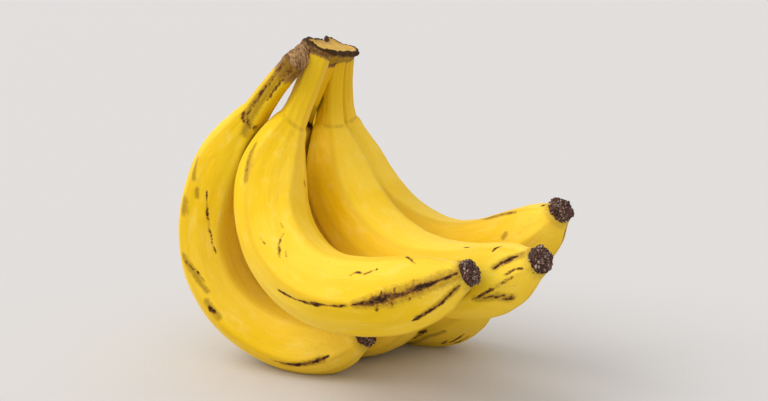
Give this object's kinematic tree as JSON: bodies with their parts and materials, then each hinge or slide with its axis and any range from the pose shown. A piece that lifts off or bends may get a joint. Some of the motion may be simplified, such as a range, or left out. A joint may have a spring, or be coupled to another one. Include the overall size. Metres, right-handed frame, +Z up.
{
  "type": "bunch of bananas",
  "caption": "Hand of ripe yellow bananas joined at a dried crown, each with a long stalk, a ridged curved body and a dark dried blossom end, resting on the backs of its outer row.",
  "frame": {"origin": "middle of the bounding box, on the surface that the bunch rests on", "axes": "+X across the front, towards the blossom ends; +Y away from the front; +Z up"},
  "size_m": [0.1996, 0.1872, 0.1713],
  "materials": {
    "peel": "ripe banana peel, waxy and softly shiny, with brown scuffs",
    "blossom_end": "dried flower remains, dark brown, rough and crumbly",
    "crown": "dried brown stalk tissue with a tan cut face"
  },
  "bodies": {
    "root": {"crown": "crown", "banana_1": "peel", "banana_2": "peel", "banana_3": "peel", "banana_4": "peel", "banana_5": "peel", "banana_6": "peel", "blossom_end_1": "blossom_end", "blossom_end_2": "blossom_end", "blossom_end_3": "blossom_end", "blossom_end_4": "blossom_end", "blossom_end_5": "blossom_end", "blossom_end_6": "blossom_end"}
  },
  "joints": []
}
